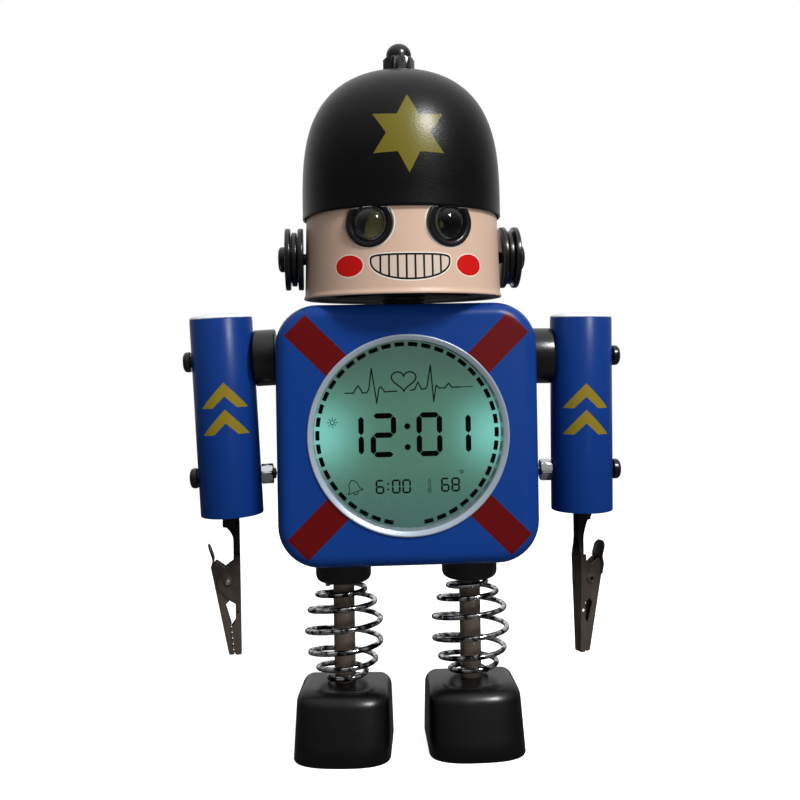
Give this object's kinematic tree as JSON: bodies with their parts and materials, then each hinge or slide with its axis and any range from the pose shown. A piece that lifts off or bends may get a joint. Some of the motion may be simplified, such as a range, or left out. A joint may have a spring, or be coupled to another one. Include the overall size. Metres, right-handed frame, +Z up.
{
  "type": "toy robot alarm clock",
  "caption": "Toy robot that is an alarm clock: box body with a round LCD dial, domed helmet, tube arms with crocodile clips, and sprung legs on rounded feet.",
  "frame": {"origin": "on the floor, under the middle of the body", "axes": "+Z up, -Y the way the robot faces, +X to the right of a person facing it"},
  "size_m": [0.1572, 0.0714, 0.2498],
  "materials": {
    "body_blue": "semi-gloss blue enamel",
    "gloss_black": "gloss black enamel with a faint orange peel",
    "satin_black": "satin black",
    "skin": "flesh-coloured printed tin, satin varnish",
    "cap_white": "white enamel",
    "bezel_silver": "silver-white satin paint",
    "chrome": "bright chrome plate",
    "rod_steel": "dull nickel-plated rod",
    "dark_nickel": "dark nickel-plated spring steel",
    "clear_plastic": "clear plastic",
    "lamp": "yellow phosphor",
    "lcd": "backlit sage-green LCD",
    "board": "green solder mask",
    "cell": "plain battery sleeve",
    "rear_black": "moulded black plastic",
    "button_black": "black moulded buttons"
  },
  "bodies": {
    "root": {"front_shell": "body_blue", "rear_cover": "rear_black", "display_bezel": "bezel_silver", "display_window": "clear_plastic", "lcd_panel": "lcd", "circuit_board": "board", "speaker": "satin_black", "battery_1": "cell", "battery_2": "cell", "neck_rod": "chrome", "neck_collar": "satin_black", "helmet_nut": "gloss_black", "shoulder_spacer_left": "satin_black", "shoulder_bolt_left": "gloss_black", "shoulder_nut_left": "chrome", "leg_socket_left": "satin_black", "leg_spring_left": "chrome", "shoulder_spacer_right": "satin_black", "shoulder_bolt_right": "gloss_black", "shoulder_nut_right": "chrome", "leg_socket_right": "satin_black", "leg_spring_right": "chrome"},
    "head": {"helmet": "gloss_black", "face_band": "skin", "head_base_plate": "satin_black", "eye_bezel_left": "gloss_black", "eye_lens_left": "clear_plastic", "eye_led_left": "lamp", "ear_disc_left": "gloss_black", "ear_screw_left": "gloss_black", "eye_bezel_right": "gloss_black", "eye_lens_right": "clear_plastic", "eye_led_right": "lamp", "ear_disc_right": "gloss_black", "ear_screw_right": "gloss_black"},
    "door": {"battery_door": "rear_black"},
    "button_1": {"button_1": "button_black"},
    "button_2": {"button_2": "button_black"},
    "button_3": {"button_3": "button_black"},
    "button_4": {"button_4": "button_black"},
    "arm_left": {"arm_tube_left": "body_blue", "arm_cap_left": "cap_white", "hand_bolt_left": "gloss_black", "hand_nut_left": "chrome"},
    "clip_left": {"clip_jaw_left": "dark_nickel", "clip_rivet_left": "dark_nickel", "clip_spring_left": "chrome"},
    "lever_left": {"clip_lever_left": "dark_nickel"},
    "leg_left": {"leg_rod_left": "rod_steel"},
    "foot_left": {"foot_left": "gloss_black"},
    "arm_right": {"arm_tube_right": "body_blue", "arm_cap_right": "cap_white", "hand_bolt_right": "gloss_black", "hand_nut_right": "chrome"},
    "clip_right": {"clip_jaw_right": "dark_nickel", "clip_rivet_right": "dark_nickel", "clip_spring_right": "chrome"},
    "lever_right": {"clip_lever_right": "dark_nickel"},
    "leg_right": {"leg_rod_right": "rod_steel"},
    "foot_right": {"foot_right": "gloss_black"}
  },
  "joints": [
    {"name": "head_turn", "type": "hinge", "parent": "root", "child": "head", "pos_m": [0, 0, 0.16], "axis": [0, 0, 1], "range_deg": [-90, 90]},
    {"name": "arm_left_swing", "type": "hinge", "parent": "root", "child": "arm_left", "pos_m": [-0.04475, 0, 0.138], "axis": [0.9991, 0, 0.0419], "continuous": true},
    {"name": "clip_left_swing", "type": "hinge", "parent": "arm_left", "child": "clip_left", "pos_m": [-0.0627, 0, 0.09591], "axis": [0.9991, 0, 0.0419], "range_deg": [-20, 20]},
    {"name": "clip_left_open", "type": "hinge", "parent": "clip_left", "child": "lever_left", "pos_m": [-0.0639, -0.00011, 0.05911], "axis": [-0.0872, 0.9962, 0], "range_deg": [0, 26], "stiffness_Nm_per_rad": 0.06, "springref_deg": -28.65},
    {"name": "leg_left_slide", "type": "slide", "parent": "root", "child": "leg_left", "axis": [0, 0, 1], "range_m": [0, 0.006], "stiffness_N_per_m": 2500, "springref_m": -0.006, "deforming": ["leg_spring_left"]},
    {"name": "foot_left_turn", "type": "hinge", "parent": "leg_left", "child": "foot_left", "pos_m": [-0.023, 0, 0.01], "axis": [0, 0, 1], "range_deg": [-20, 20]},
    {"name": "arm_right_swing", "type": "hinge", "parent": "root", "child": "arm_right", "pos_m": [0.04475, 0, 0.13685], "axis": [0.9999, 0, -0.0105], "continuous": true},
    {"name": "clip_right_swing", "type": "hinge", "parent": "arm_right", "child": "clip_right", "pos_m": [0.06402, 0, 0.09535], "axis": [0.9999, 0, -0.0105], "range_deg": [-20, 20]},
    {"name": "clip_right_open", "type": "hinge", "parent": "clip_right", "child": "lever_right", "pos_m": [0.06513, 0.00045, 0.05595], "axis": [0.3746, -0.9272, 0], "range_deg": [0, 26], "stiffness_Nm_per_rad": 0.06, "springref_deg": -28.65},
    {"name": "leg_right_slide", "type": "slide", "parent": "root", "child": "leg_right", "axis": [0, 0, 1], "range_m": [0, 0.006], "stiffness_N_per_m": 2500, "springref_m": -0.006, "deforming": ["leg_spring_right"]},
    {"name": "foot_right_turn", "type": "hinge", "parent": "leg_right", "child": "foot_right", "pos_m": [0.0223, 0, 0.01], "axis": [0, 0, 1], "range_deg": [-20, 20]},
    {"name": "button_1_press", "type": "slide", "parent": "root", "child": "button_1", "axis": [0, -1, 0], "range_m": [0, 0.001], "stiffness_N_per_m": 400, "springref_m": -0.001},
    {"name": "button_2_press", "type": "slide", "parent": "root", "child": "button_2", "axis": [0, -1, 0], "range_m": [0, 0.001], "stiffness_N_per_m": 400, "springref_m": -0.001},
    {"name": "button_3_press", "type": "slide", "parent": "root", "child": "button_3", "axis": [0, -1, 0], "range_m": [0, 0.001], "stiffness_N_per_m": 400, "springref_m": -0.001},
    {"name": "button_4_press", "type": "slide", "parent": "root", "child": "button_4", "axis": [0, -1, 0], "range_m": [0, 0.001], "stiffness_N_per_m": 400, "springref_m": -0.001},
    {"name": "door_open", "type": "hinge", "parent": "root", "child": "door", "pos_m": [0, 0.0208, 0.0815], "axis": [-1, 0, 0], "range_deg": [0, 95]}
  ]
}
